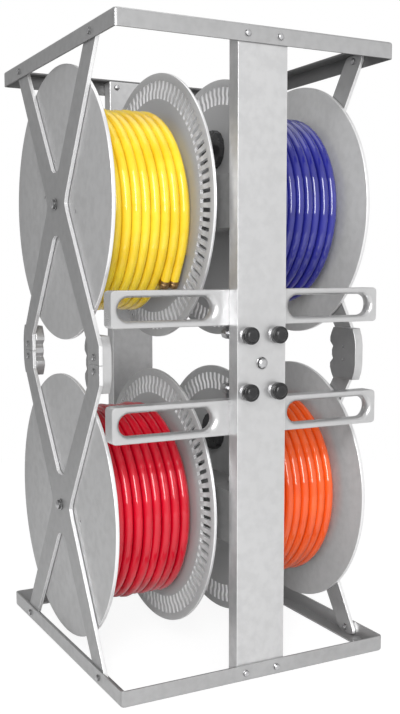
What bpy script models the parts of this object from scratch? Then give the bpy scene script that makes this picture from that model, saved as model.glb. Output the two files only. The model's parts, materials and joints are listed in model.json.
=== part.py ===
"""Free-standing rack with four hose reels.

Two angle-bar rings are joined by a front and a rear box upright and, on each
side, by two X frames that meet at splice plates half way up.  Two through
axles carry four reels.  Each reel has a plain outer flange and an inner
flange with a ring of radial slots.  A knob at the front turns a rod whose
lever puts a tooth into one of the slots and so holds the reel.

Lengths below are in millimetres and become metres when a mesh is made.
+Z is up, -Y is the front, +X is to the right of someone facing the front.
"""
import math

import bmesh
import bpy
from mathutils import Matrix, Vector
from mathutils.geometry import tessellate_polygon

# ---------------------------------------------------------------- sizes
MM = 0.001
GAP = 0.3                   # clearance between pieces that touch

HEIGHT = 960.0              # over both rings
WIDTH = 460.0               # over the rings, left to right
DEPTH = 498.0               # over the rings, front to back
RING_LEG = 25.0             # angle bar, both legs
RING_WALL = 3.0
RING_CORNER = 6.0

UPRIGHT_WIDTH = 82.0
UPRIGHT_DEPTH = 25.0
UPRIGHT_WALL = 3.0

FRAME_THICK = 6.0           # X frame plate
FRAME_ARM = 45.0            # width of an arm, measured level
FRAME_WAIST = 36.0          # half width where the arms' edges would cross
FRAME_WAIST_ROUND = 14.0    # from the axle to where the waist's rounding ends
FRAME_SPREAD = 165.0        # centre of an arm's end at a ring, from the middle
FRAME_MEET = 150.0          # centre of an arm's end at half height
FRAME_MEET_RUN = 28.0       # upright end of an arm at half height
FRAME_END_ROUND = 14.0      # outer corner of an arm's end at a ring
FRAME_NOTCH = 16.0          # half width of the rounded bottom of a V
FRAME_NOTCH_RISE = 48.0     # from the axle to the bottom of a V

SPLICE_LENGTH = 66.0        # front to back
SPLICE_HEIGHT = 84.0
SPLICE_THICK = 15.0
SPLICE_CHAMFER_Y = 8.0
SPLICE_CHAMFER_Z = 26.0
SPLICE_LOBE = 4.0           # depth of the hand grip's waves
SPLICE_OFFSET = 14.0        # from the arms, backwards on the left, forwards on the right

AXLE_SPACING = 476.0        # upper axle above lower axle
AXLE_RADIUS = 10.0
AXLE_SPIGOT = 5.0
AXLE_NUT_RADIUS = 9.0
AXLE_NUT_HEIGHT = 8.0

BEAM_WIDTH = 60.0
BEAM_HEIGHT = 80.0
BEAM_WALL = 3.0

FLANGE_RADIUS = 211.0
OUTER_FLANGE_THICK = 6.0
OUTER_FLANGE_GAP = 1.0      # between the outer flange and the X frame
INNER_FLANGE_AT = 57.0      # inner flange's near face from the middle
INNER_FLANGE_THICK = 5.0
SLOT_COUNT = 84
RIM_SIDES = 42              # facets of a flange's rim
SLOT_INNER = 171.0
SLOT_OUTER = 199.0
SLOT_WIDTH = 6.6

DRUM_RADIUS = 70.0
DRUM_WALL = 3.0
DRUM_WEB = 8.0
HUB_RADIUS = 16.0

HOSE_RADIUS = 7.4
HOSE_STEPS = 12             # points along one turn
HOSE_PITCH = 15.6
HOSE_COIL_RADIUS = 150.0    # centre line of the outer layer
HOSE_START = 76.0           # centre line of the first turn from the middle
HOSE_TAIL = 50.0            # straight run to the free end
HOSE_TAIL_ANGLE = 27.0      # where the yellow tails leave the coil, below level
HOSE_TAIL_UNDER = 90.0      # where the other tails leave it, under the drum
HOSE_SAG = 1.5              # winding's middle below the axle
HOSE_SAG_YELLOW = 8.0
FERRULE_RADIUS = 8.0
FERRULE_LENGTH = 14.0

GUIDE_IN = 8.0              # inner end from the middle
GUIDE_OUT = 228.0           # outer end from the middle
GUIDE_HEIGHT = 53.0
GUIDE_DEPTH = 25.0
GUIDE_CENTRE = 81.5         # from half height to the guide's middle
GUIDE_SLOT_IN = 66.0
GUIDE_SLOT_OUT = 215.0
GUIDE_SLOT_HEIGHT = 33.0
GUIDE_FLARE = 6.0           # flare of the slot's long edges
GUIDE_FLARE_IN = 15.0       # flare of its inner round end
GUIDE_FLARE_OUT = 9.0       # flare of its outer round end
GUIDE_FLARE_DEPTH = 10.0
GUIDE_CORNER = 7.0

LOCK_X = 24.5               # lock rods from the middle
LOCK_Z = 41.5               # lock rods from half height
LOCK_ROD_RADIUS = 4.0
LOCK_HUB_RADIUS = 8.5
LEVER_SET = 10.0            # least from the guides to the lever's middle
LEVER_THICK = 5.0
LEVER_WIDTH = 8.0
LEVER_PAST = 4.0            # arm beyond the tooth
LEVER_REST = 7.0            # degrees inwards when released
LEVER_LOCKED = 10.0         # degrees outwards when locked
TOOTH_SLOT_HIGH = 17        # highest slot for the tooth, from the nearest one
TOOTH_AT = 193.0            # tooth's radius on the flange
TOOTH_HEIGHT = 3.2
TOOTH_PAST = 2.2            # tooth beyond the flange when locked
KNOB_RADIUS = 12.3
KNOB_LENGTH = 18.0

BOLT_RADIUS = 4.0
BOLT_HEAD_RADIUS = 8.6
BOLT_HEAD_HEIGHT = 5.0
BOLT_TAIL = 6.0             # bolt beyond the upright

DRAG_RADIUS = 32.0
DRAG_THICK = 10.0
DRAG_STEM = 9.0
DRAG_ABOVE = 98.0           # puck centre above the axle
DRAG_WEB = 6.0
DRAG_DEPTH = 30.0

PIN_SIDES = 8               # facets of small pins, rods and their holes
AXLE_SIDES = 12

MID = HEIGHT / 2
AXLE_Z = {"upper": MID + AXLE_SPACING / 2, "lower": MID - AXLE_SPACING / 2}
UPRIGHT_FACE = DEPTH / 2 - RING_WALL - GAP
UPRIGHT_BACK = UPRIGHT_FACE - UPRIGHT_DEPTH
UPRIGHT_TOP = HEIGHT - RING_WALL - GAP
FRAME_OUT = WIDTH / 2 - RING_WALL - GAP
FRAME_IN = FRAME_OUT - FRAME_THICK
OUTER_FLANGE_OUT = FRAME_IN - OUTER_FLANGE_GAP
OUTER_FLANGE_IN = OUTER_FLANGE_OUT - OUTER_FLANGE_THICK
INNER_FLANGE_FACE = INNER_FLANGE_AT + INNER_FLANGE_THICK
DRUM_IN = INNER_FLANGE_FACE + GAP
DRUM_OUT = OUTER_FLANGE_IN - GAP
HOSE_TURNS = int((DRUM_OUT - HOSE_RADIUS - GAP - HOSE_START) / HOSE_PITCH)
GUIDE_BACK = UPRIGHT_BACK - GAP - GUIDE_DEPTH
TOOTH_BEHIND = math.asin(min(1.0, (GUIDE_BACK - GAP - LEVER_SET) / TOOTH_AT))
TOOTH_SLOT = min(TOOTH_SLOT_HIGH, int(TOOTH_BEHIND * SLOT_COUNT / (2 * math.pi)))
CORE_RADIUS = HOSE_COIL_RADIUS - (HOSE_RADIUS + GAP) / math.cos(math.pi / HOSE_STEPS)
FRONT_REACH = UPRIGHT_FACE + GAP + KNOB_LENGTH
SHIFT = Vector((0.0, (FRONT_REACH - DEPTH / 2) / 2, 0.0))   # centres the outer size
REELS = (("yellow", -1, "upper"), ("blue", 1, "upper"),
         ("red", -1, "lower"), ("orange", 1, "lower"))

# ---------------------------------------------------------------- helpers
for old in list(bpy.data.objects):
    bpy.data.objects.remove(old, do_unlink=True)


def material(name, colour, roughness, metallic):
    """A Principled material."""
    mat = bpy.data.materials.new(name)
    mat.use_nodes = True
    node = mat.node_tree.nodes["Principled BSDF"]
    node.inputs["Base Color"].default_value = (*colour, 1.0)
    node.inputs["Roughness"].default_value = roughness
    node.inputs["Metallic"].default_value = metallic
    return mat


SATIN = dict(colour=(0.56, 0.56, 0.57), roughness=0.38, metallic=0.85)
BRIGHT = dict(colour=(0.72, 0.72, 0.73), roughness=0.22, metallic=1.0)
BLACK = dict(colour=(0.03, 0.03, 0.032), roughness=0.45, metallic=0.0)
BRASS = dict(colour=(0.45, 0.27, 0.10), roughness=0.35, metallic=1.0)
HOSE_COLOUR = {"yellow": (0.93, 0.70, 0.03), "blue": (0.03, 0.035, 0.30),
               "red": (0.62, 0.01, 0.025), "orange": (0.90, 0.16, 0.02)}


def rubber(name):
    """The look of a reel's hose."""
    return dict(colour=HOSE_COLOUR[name], roughness=0.3, metallic=0.0)


def place(name, bm, look, origin=(0, 0, 0), parent=None, smooth=None):
    """Make an object from a bmesh given in millimetres about origin."""
    bmesh.ops.scale(bm, vec=(MM, MM, MM), verts=bm.verts)
    bmesh.ops.recalc_face_normals(bm, faces=bm.faces)
    mesh = bpy.data.meshes.new(name)
    bm.to_mesh(mesh)
    bm.free()
    if smooth:
        mesh.shade_smooth()
        mesh.set_sharp_from_angle(angle=math.radians(smooth))
    obj = bpy.data.objects.new(name, mesh)
    bpy.context.scene.collection.objects.link(obj)
    obj.data.materials.append(material(name, **look))
    obj.location = (Vector(origin) + SHIFT) * MM
    if parent:
        obj.location -= parent.location
        obj.parent = parent
    return obj


def empty(name, origin):
    """An empty on a joint's axis."""
    obj = bpy.data.objects.new(name, None)
    bpy.context.scene.collection.objects.link(obj)
    obj.location = (Vector(origin) + SHIFT) * MM
    return obj


def fuse(obj, other):
    """Join a second closed shape to obj with a Boolean union."""
    other.hide_render = True
    other.display_type = "WIRE"
    mod = obj.modifiers.new("fuse " + other.name, "BOOLEAN")
    mod.operation = "UNION"
    mod.solver = "EXACT"
    mod.object = other


def hole_radius(pin, sides):
    """Corner radius of a faceted hole that clears a pin all round."""
    return (pin + GAP) / math.cos(math.pi / sides)


FLANGE_BORE = hole_radius(HUB_RADIUS, AXLE_SIDES)


def axes(axis):
    """Where an extruded shape's two outline axes and its length lie."""
    return {"X": (1, 2, 0), "Y": (0, 2, 1), "Z": (0, 1, 2)}[axis]


def at(axis, a, b, t):
    """A point from outline coordinates a, b and distance t along axis."""
    p = [0.0, 0.0, 0.0]
    i, j, k = axes(axis)
    p[i] = a
    p[j] = b
    p[k] = t
    return tuple(p)


def cap(bm, loops):
    """Fill a flat face that has holes, given loops of vertices."""
    flat = [v for loop in loops for v in loop]
    for tri in tessellate_polygon([[v.co for v in loop] for loop in loops]):
        bm.faces.new([flat[i] for i in tri])


def ring(n, radius, centre=(0.0, 0.0), turn=0.0):
    """Points round a circle."""
    step = 2 * math.pi / n
    return [(centre[0] + radius * math.cos(turn + i * step),
             centre[1] + radius * math.sin(turn + i * step)) for i in range(n)]


def bridge(bm, one, two):
    """Join two loops of as many vertices with a band of faces."""
    n = len(one)
    for i in range(n):
        bm.faces.new((one[i], one[(i + 1) % n], two[(i + 1) % n], two[i]))


def plate(loops, axis, t0, t1):
    """A flat plate between t0 and t1 with an outline and holes."""
    bm = bmesh.new()
    rows = []
    for t in (t0, t1):
        rows.append([[bm.verts.new(at(axis, a, b, t)) for a, b in loop] for loop in loops])
    for row in rows:
        cap(bm, row)
    for low, high in zip(*rows):
        bridge(bm, low, high)
    return bm


def turned(profile, n, axis="X", closed=True):
    """Revolve (t, r) points about an axis; r of 0 makes a pole."""
    bm = bmesh.new()
    rows = []
    for t, r in profile:
        if r < 1e-6:
            rows.append([bm.verts.new(at(axis, 0.0, 0.0, t))] * n)
        else:
            rows.append([bm.verts.new(at(axis, a, b, t)) for a, b in ring(n, r)])
    pairs = list(zip(rows, rows[1:]))
    if closed:
        pairs.append((rows[-1], rows[0]))
    for one, two in pairs:
        for i in range(n):
            j = (i + 1) % n
            quad = []
            for v in (one[i], one[j], two[j], two[i]):
                if v not in quad:
                    quad.append(v)
            if len(quad) > 2:
                bm.faces.new(quad)
    return bm


def box_tube(long_axis, across, half_a, half_b, t0, t1, wall, holes_low, holes_high):
    """Open-ended box tube along long_axis with round holes across it.

    half_a is the half width of the faces that are drilled, half_b the half
    depth along the drilling direction.  Holes are (a, t, radius, sides).
    """
    k = {"X": 0, "Y": 1, "Z": 2}
    drill = k[across]
    length = k[long_axis]
    side = 3 - drill - length
    bm = bmesh.new()

    def vert(a, b, t):
        p = [0.0, 0.0, 0.0]
        p[side] = a
        p[drill] = b
        p[length] = t
        return bm.verts.new(p)

    shells = []
    for a, b in ((half_a, half_b), (half_a - wall, half_b - wall)):
        shells.append({(sa, sb, e): vert(sa * a, sb * b, t)
                       for sa in (-1, 1) for sb in (-1, 1) for e, t in ((0, t0), (1, t1))})
    for sb, holes in ((-1, holes_low), (1, holes_high)):
        tunnels = []
        for shell, b in ((shells[0], half_b), (shells[1], half_b - wall)):
            face = [shell[-1, sb, 0], shell[1, sb, 0], shell[1, sb, 1], shell[-1, sb, 1]]
            cuts = [[vert(a, sb * b, t) for a, t in ring(n, r, (ca, ct))]
                    for ca, ct, r, n in holes]
            cap(bm, [face] + cuts)
            tunnels.append(cuts)
        for one, two in zip(*tunnels):
            bridge(bm, one, two)
    for shell in shells:
        for sa in (-1, 1):
            bm.faces.new((shell[sa, -1, 0], shell[sa, 1, 0], shell[sa, 1, 1], shell[sa, -1, 1]))
    for e in (0, 1):
        loops = [[s[-1, -1, e], s[1, -1, e], s[1, 1, e], s[-1, 1, e]] for s in shells]
        bridge(bm, loops[0], loops[1])
    return bm


# ---------------------------------------------------------------- rings
def angle_ring(name, z_flange, z_lip):
    """Angle bar bent round a rectangle, flange inwards at z_flange."""
    up = 1 if z_flange > z_lip else -1
    profile = ((0.0, z_lip), (RING_WALL, z_lip), (RING_WALL, z_flange - up * RING_WALL),
               (RING_LEG, z_flange - up * RING_WALL), (RING_LEG, z_flange), (0.0, z_flange))
    bm = bmesh.new()
    rows = []
    for corner in range(4):
        sx, sy = ((1, 1), (-1, 1), (-1, -1), (1, -1))[corner]
        for step in range(3):
            angle = math.radians(90 * corner + 45 * step)
            row = []
            for inset, z in profile:
                if inset < RING_CORNER:
                    radius = RING_CORNER - inset
                    cx = WIDTH / 2 - RING_CORNER
                    cy = DEPTH / 2 - RING_CORNER
                else:
                    radius = RING_CORNER
                    cx = WIDTH / 2 - inset - RING_CORNER
                    cy = DEPTH / 2 - inset - RING_CORNER
                row.append(bm.verts.new((sx * cx + radius * math.cos(angle),
                                         sy * cy + radius * math.sin(angle), z)))
            rows.append(row)
    for one, two in zip(rows, rows[1:] + rows[:1]):
        bridge(bm, one, two)
    return place(name, bm, SATIN, smooth=40)


angle_ring("top_ring", HEIGHT, HEIGHT - RING_LEG)
angle_ring("bottom_ring", 0.0, RING_LEG)

# ---------------------------------------------------------------- uprights
rod_hole = hole_radius(LOCK_ROD_RADIUS, PIN_SIDES)
rod_holes = [(sx * LOCK_X, MID + sz * LOCK_Z, rod_hole, PIN_SIDES)
             for sx in (-1, 1) for sz in (-1, 1)]
bolt_hole = [(0.0, MID, hole_radius(BOLT_RADIUS, PIN_SIDES), PIN_SIDES)]


def upright(name, side, low, high):
    """Box upright at the front (side -1) or the rear (side 1)."""
    bm = box_tube("Z", "Y", UPRIGHT_WIDTH / 2, UPRIGHT_DEPTH / 2, HEIGHT - UPRIGHT_TOP,
                  UPRIGHT_TOP, UPRIGHT_WALL, low, high)
    return place(name, bm, SATIN, (0, side * (UPRIGHT_FACE + UPRIGHT_BACK) / 2, 0))


upright("front_upright", -1, rod_holes + bolt_hole, rod_holes + bolt_hole)
upright("rear_upright", 1, [], [])


# ---------------------------------------------------------------- X frames
def softened(before, corner, after, radius):
    """Three points that round a corner of an outline."""
    middle = Vector(corner)
    one = (Vector(before) - middle).normalized() * radius
    two = (Vector(after) - middle).normalized() * radius
    return [tuple(middle + one), tuple(middle + (one + two) * 0.29), tuple(middle + two)]


def arm_outline(end, spread, run, corner):
    """Half an X frame's end: from the waist round one arm to the bottom of the V."""
    tip_out = spread + FRAME_ARM / 2
    tip_in = tip_out - FRAME_ARM
    slope = (tip_out - FRAME_WAIST) / (end - run)
    soft = FRAME_WAIST_ROUND
    notch = (FRAME_NOTCH, FRAME_NOTCH_RISE + 5.0)
    side = [(FRAME_WAIST + 0.3 * slope * soft, 0.0), (FRAME_WAIST + slope * soft, soft)]
    if run:
        side += [(tip_out, end - run), (tip_out, end), (tip_in, end), (tip_in, end - run)]
    else:
        side += softened(side[-1], (tip_out, end), (tip_in, end), corner)
        side += softened((tip_out, end), (tip_in, end), notch, corner * 0.5)
    return side + [notch, (FRAME_NOTCH * 0.5, FRAME_NOTCH_RISE + 1.0)]


def x_frame(name, sx, level):
    """Flat X plate between a ring and the splice plates."""
    z_axle = AXLE_Z[level]
    ring_end = arm_outline(UPRIGHT_TOP - AXLE_Z["upper"], FRAME_SPREAD, 0.0, FRAME_END_ROUND)
    meet_end = arm_outline(AXLE_SPACING / 2 - GAP, FRAME_MEET, FRAME_MEET_RUN, 0.0)
    top, bottom = (ring_end, meet_end) if level == "upper" else (meet_end, ring_end)
    outline = top + [(-y, z) for y, z in reversed(top)]
    outline += [(-y, -z) for y, z in bottom[1:]] + [(y, -z) for y, z in reversed(bottom[1:])]
    loops = [[(y, z_axle + z) for y, z in outline],
             ring(PIN_SIDES, hole_radius(AXLE_SPIGOT, PIN_SIDES), (0.0, z_axle))]
    bm = plate(loops, "X", sx * FRAME_IN, sx * FRAME_OUT)
    return place(name, bm, SATIN)


def splice(name, sx, sy):
    """Thick plate that joins an upper and a lower arm end, waved as a hand grip."""
    hy = SPLICE_LENGTH / 2
    hz = SPLICE_HEIGHT / 2
    wave = SPLICE_LOBE
    grip = [(0.6 * SPLICE_CHAMFER_Y, 1.0), (0.0, 0.82), (-wave, 0.6), (-wave, 0.42),
            (wave, 0.24), (0.3 * wave, 0.1)]
    inner = [(u - hy, hz * z) for u, z in grip]
    inner += [(u, -z) for u, z in reversed(inner)]
    outer = [(hy - SPLICE_CHAMFER_Y, -hz), (hy - 0.3 * SPLICE_CHAMFER_Y, -hz + 0.5 * SPLICE_CHAMFER_Z),
             (hy, -hz + SPLICE_CHAMFER_Z)]
    outer += [(u, -z) for u, z in reversed(outer)]
    centre = sy * FRAME_MEET - sx * SPLICE_OFFSET
    loop = [(centre + sy * u, MID + z) for u, z in inner + outer]
    face = FRAME_IN - GAP
    bm = plate([loop], "X", sx * (face - SPLICE_THICK), sx * face)
    return place(name, bm, SATIN)


for sx, side in ((-1, "left"), (1, "right")):
    for level in ("upper", "lower"):
        x_frame("x_frame_%s_%s" % (level, side), sx, level)
    for sy, end in ((-1, "front"), (1, "rear")):
        splice("splice_plate_%s_%s" % (end, side), sx, sy)


# ---------------------------------------------------------------- guides
def stadium(x0, x1, half, steps=6):
    """A slot outline with round ends."""
    points = []
    for cx, start in ((x1 - half, -90), (x0 + half, 90)):
        for i in range(steps + 1):
            angle = math.radians(start + 180 * i / steps)
            points.append((cx + half * math.cos(angle), half * math.sin(angle)))
    return points


def guide(name, sx, sz):
    """Hose guide bar with a long slot flared at both faces."""
    zc = MID + sz * GUIDE_CENTRE
    half = GUIDE_SLOT_HEIGHT / 2
    hz = GUIDE_HEIGHT / 2
    c = GUIDE_CORNER
    outline = [(GUIDE_IN, -hz), (GUIDE_OUT - c, -hz), (GUIDE_OUT - 0.3 * c, -hz + 0.3 * c),
               (GUIDE_OUT, -hz + c), (GUIDE_OUT, hz - c), (GUIDE_OUT - 0.3 * c, hz - 0.3 * c),
               (GUIDE_OUT - c, hz), (GUIDE_IN, hz)]
    d = GUIDE_FLARE_DEPTH
    bands = ((0.0, 1.0), (0.25 * d, 0.4), (d, 0.0), (GUIDE_DEPTH - d, 0.0),
             (GUIDE_DEPTH, 0.7))
    y0 = -UPRIGHT_BACK + GAP
    bm = bmesh.new()

    def row(points, y):
        return [bm.verts.new((sx * x, y, zc + z)) for x, z in points]

    slots = [row(stadium(GUIDE_SLOT_IN - e * GUIDE_FLARE_IN,
                         GUIDE_SLOT_OUT + e * GUIDE_FLARE_OUT,
                         half + e * GUIDE_FLARE), y0 + t) for t, e in bands]
    outer = [row(outline, y0), row(outline, y0 + GUIDE_DEPTH)]
    for one, two in zip(slots, slots[1:]):
        bridge(bm, one, two)
    bridge(bm, outer[0], outer[1])
    cap(bm, [outer[0], slots[0]])
    cap(bm, [outer[1], slots[-1]])
    return place(name, bm, SATIN, smooth=50)


for sx, side in ((-1, "left"), (1, "right")):
    for sz, level in ((1, "upper"), (-1, "lower")):
        guide("hose_guide_%s_%s" % (level, side), sx, sz)


# ---------------------------------------------------------------- axles
def beam(level):
    """Box beam from upright to upright that holds the axle's middle."""
    length = UPRIGHT_BACK - GAP
    hole = [(0.0, 0.0, hole_radius(AXLE_RADIUS, AXLE_SIDES), AXLE_SIDES)]
    bm = box_tube("Y", "X", BEAM_HEIGHT / 2, BEAM_WIDTH / 2, -length, length, BEAM_WALL,
                  hole, hole)
    return place("axle_beam_" + level, bm, SATIN, (0, 0, AXLE_Z[level]))


def axle(level):
    """Through axle with a thin spigot at each X frame."""
    shoulder = FRAME_IN - GAP
    end = FRAME_OUT + AXLE_NUT_HEIGHT * 0.5
    half = [(end, 0.0), (end, AXLE_SPIGOT), (shoulder, AXLE_SPIGOT), (shoulder, AXLE_RADIUS)]
    profile = [(-t, r) for t, r in half] + [(t, r) for t, r in reversed(half)]
    bm = turned(profile, AXLE_SIDES, closed=False)
    return place("axle_" + level, bm, BRIGHT, (0, 0, AXLE_Z[level]), smooth=40)


def axle_nut(name, sx, level):
    """Domed nut outside an X frame."""
    t0 = FRAME_OUT + GAP
    h = AXLE_NUT_HEIGHT
    bore = hole_radius(AXLE_SPIGOT, AXLE_SIDES)
    depth = FRAME_OUT + h * 0.5 + GAP
    r = AXLE_NUT_RADIUS
    profile = [(depth, 0.0), (depth, bore), (t0, bore), (t0, r), (t0 + 0.4 * h, r),
               (t0 + 0.8 * h, 0.7 * r), (t0 + h, 0.0)]
    bm = turned([(sx * t, rr) for t, rr in profile], AXLE_SIDES, closed=False)
    return place(name, bm, BRIGHT, (0, 0, AXLE_Z[level]), smooth=50)


for level in ("upper", "lower"):
    beam(level)
    axle(level)
    for sx, side in ((-1, "left"), (1, "right")):
        axle_nut("axle_nut_%s_%s" % (level, side), sx, level)


# ---------------------------------------------------------------- reels
def slotted_disc(sx):
    """Disc with radial slots; one slot is centred straight below the axle."""
    bm = bmesh.new()
    pitch = 2 * math.pi / SLOT_COUNT
    group = SLOT_COUNT // AXLE_SIDES
    per_rim = SLOT_COUNT // RIM_SIDES
    sides = []
    for u in (INNER_FLANGE_AT, INNER_FLANGE_FACE):

        def vert(r, a):
            return bm.verts.new((sx * u, r * math.sin(a), -r * math.cos(a)))

        slots = []
        for i in range(SLOT_COUNT):
            angles = [i * pitch + s * math.asin(SLOT_WIDTH / 2 / SLOT_INNER) for s in (-1, 1)]
            wide = [i * pitch + s * math.asin(SLOT_WIDTH / 2 / SLOT_OUTER) for s in (-1, 1)]
            slots.append([vert(SLOT_INNER, angles[0]), vert(SLOT_OUTER, wide[0]),
                          vert(SLOT_OUTER, wide[1]), vert(SLOT_INNER, angles[1])])
        rim = [vert(FLANGE_RADIUS, (i * per_rim + 0.5) * pitch) for i in range(RIM_SIDES)]
        bore = [vert(FLANGE_BORE, (i * group + 0.5) * pitch) for i in range(AXLE_SIDES)]
        for i in range(SLOT_COUNT):
            here = slots[i]
            there = slots[(i + 1) % SLOT_COUNT]
            bm.faces.new((here[3], here[2], there[1], there[0]))
        for border, count, first, last in ((bore, group, 0, 3), (rim, per_rim, 1, 2)):
            for i, corner in enumerate(border):
                edge = [corner, slots[i * count][last]]
                for k in range(1, count + 1):
                    slot = slots[(i * count + k) % SLOT_COUNT]
                    edge += [slot[first], slot[last]]
                edge.append(border[(i + 1) % len(border)])
                bm.faces.new(edge)
        sides.append((slots, rim, bore))
    (slots_a, rim_a, bore_a), (slots_b, rim_b, bore_b) = sides
    bridge(bm, rim_a, rim_b)
    bridge(bm, bore_a, bore_b)
    for one, two in zip(slots_a, slots_b):
        bridge(bm, one, two)
    return bm


def drum(sx):
    """Hollow drum whose hubs run on the axle and space the reel."""
    bore = hole_radius(AXLE_RADIUS, HOSE_STEPS)
    end_in = BEAM_WIDTH / 2 + GAP
    end_out = FRAME_IN - GAP
    inside = DRUM_RADIUS - DRUM_WALL
    profile = [(end_in, bore), (end_in, HUB_RADIUS), (DRUM_IN, HUB_RADIUS),
               (DRUM_IN, DRUM_RADIUS), (DRUM_OUT, DRUM_RADIUS), (DRUM_OUT, HUB_RADIUS),
               (end_out, HUB_RADIUS), (end_out, bore), (DRUM_OUT - DRUM_WEB, bore),
               (DRUM_OUT - DRUM_WEB, inside), (DRUM_IN + DRUM_WEB, inside),
               (DRUM_IN + DRUM_WEB, bore)]
    return turned([(sx * t, r) for t, r in profile], HOSE_STEPS)


def hose_core(sx, sag):
    """Inner layers of the hose as one ring that hangs on the drum."""
    core = [(DRUM_IN + GAP, DRUM_RADIUS + GAP), (DRUM_IN + GAP, CORE_RADIUS),
            (DRUM_OUT - GAP, CORE_RADIUS), (DRUM_OUT - GAP, DRUM_RADIUS + GAP)]
    bm = turned([(sx * t, r) for t, r in core], HOSE_STEPS)
    for v in bm.verts:
        if math.hypot(v.co.y, v.co.z) > (DRUM_RADIUS + CORE_RADIUS) / 2:
            v.co.z -= sag
    return bm


def coil_points(sx, first, pitch, turns, tail_angle, sag):
    """Centre line of an outer layer: a helix with a straight tail."""
    steps = HOSE_STEPS
    start = round(tail_angle * steps / 360) * 2 * math.pi / steps
    r = HOSE_COIL_RADIUS
    y = -r * math.cos(start)
    z = -r * math.sin(start)
    points = []
    for t in (HOSE_TAIL, HOSE_TAIL * 0.4):
        points.append(Vector((sx * first, y + t * math.sin(start), z - t * math.cos(start))))
    for i in range(int(turns * steps) + 1):
        a = start - 2 * math.pi * i / steps
        u = first + pitch * i / steps
        points.append(Vector((sx * u, -r * math.cos(a), -r * math.sin(a))))
    last = points[-1]
    run = (points[-1] - points[-2]).normalized()
    points.append(last + run * 2 * HOSE_RADIUS)
    return [p - Vector((0, 0, sag)) for p in points]


def hose_tube(name, points, look, origin, parent):
    """One unbroken tube along the points."""
    curve = bpy.data.curves.new(name, "CURVE")
    curve.dimensions = "3D"
    curve.bevel_depth = HOSE_RADIUS * MM
    curve.bevel_resolution = 1
    curve.use_fill_caps = True
    line = curve.splines.new("POLY")
    line.points.add(len(points) - 1)
    for point, co in zip(line.points, points):
        point.co = (*(co * MM), 1.0)
    obj = bpy.data.objects.new(name, curve)
    bpy.context.scene.collection.objects.link(obj)
    curve.materials.append(material(name, **look))
    obj.parent = parent
    obj.location = (Vector(origin) + SHIFT) * MM - parent.location
    return obj


def least_gap(runs):
    """Least clear gap between stretches of tube that aren't neighbours."""
    best = 1e9
    for a, one in enumerate(runs):
        for b, two in enumerate(runs[a:], a):
            for i, p in enumerate(one):
                for j, q in enumerate(two):
                    if a == b and abs(i - j) < 9:
                        continue
                    best = min(best, (p - q).length - 2 * HOSE_RADIUS)
    return best


def ferrule(name, points, origin, parent):
    """Metal end sleeve beyond a hose's free end."""
    run = (points[0] - points[1]).normalized()
    profile = [(GAP, 0.0), (GAP, FERRULE_RADIUS), (FERRULE_LENGTH * 0.8, FERRULE_RADIUS),
               (FERRULE_LENGTH, FERRULE_RADIUS * 0.7), (FERRULE_LENGTH, 0.0)]
    bm = turned(profile, 10, closed=False)
    turn = Vector((1, 0, 0)).rotation_difference(run).to_matrix().to_4x4()
    bmesh.ops.transform(bm, matrix=Matrix.Translation(points[0]) @ turn, verts=bm.verts)
    return place(name, bm, BRASS, origin, parent, smooth=50)


for colour, sx, level in REELS:
    centre = (sx * (INNER_FLANGE_AT + OUTER_FLANGE_OUT) / 2, 0, AXLE_Z[level])
    axis = empty(colour + "_reel_axis", centre)
    base = (0, 0, AXLE_Z[level])
    outer = [(OUTER_FLANGE_IN, FLANGE_BORE), (OUTER_FLANGE_IN, FLANGE_RADIUS),
             (OUTER_FLANGE_OUT, FLANGE_RADIUS), (OUTER_FLANGE_OUT, FLANGE_BORE)]
    bm = turned([(sx * t, r) for t, r in outer], RIM_SIDES)
    place(colour + "_outer_flange", bm, SATIN, base, axis, smooth=40)
    place(colour + "_slotted_flange", slotted_disc(sx), SATIN, base, axis)
    place(colour + "_drum", drum(sx), SATIN, base, axis, smooth=40)
    sag = HOSE_SAG_YELLOW if colour == "yellow" else HOSE_SAG
    place(colour + "_hose_core", hose_core(sx, sag), rubber(colour), base, axis, smooth=40)
    if colour == "yellow":
        runs = [coil_points(sx, HOSE_START + k * HOSE_PITCH, 2 * HOSE_PITCH,
                            (HOSE_TURNS - 1) / 2, HOSE_TAIL_ANGLE, sag) for k in (0, 1)]
    else:
        runs = [coil_points(sx, HOSE_START, HOSE_PITCH, HOSE_TURNS, HOSE_TAIL_UNDER, sag)]
    print(colour, "hose: least gap %.2f mm, %d points" %
          (least_gap(runs), sum(len(r) for r in runs)))
    for k, points in enumerate(runs):
        label = colour + ("_hose_turns" if len(runs) == 1 else "_hose_turns_%s" % "ab"[k])
        hose_tube(label, points, rubber(colour), base, axis)
        if colour == "yellow":
            ferrule("yellow_ferrule_%s" % "ab"[k], points, base, axis)


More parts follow.
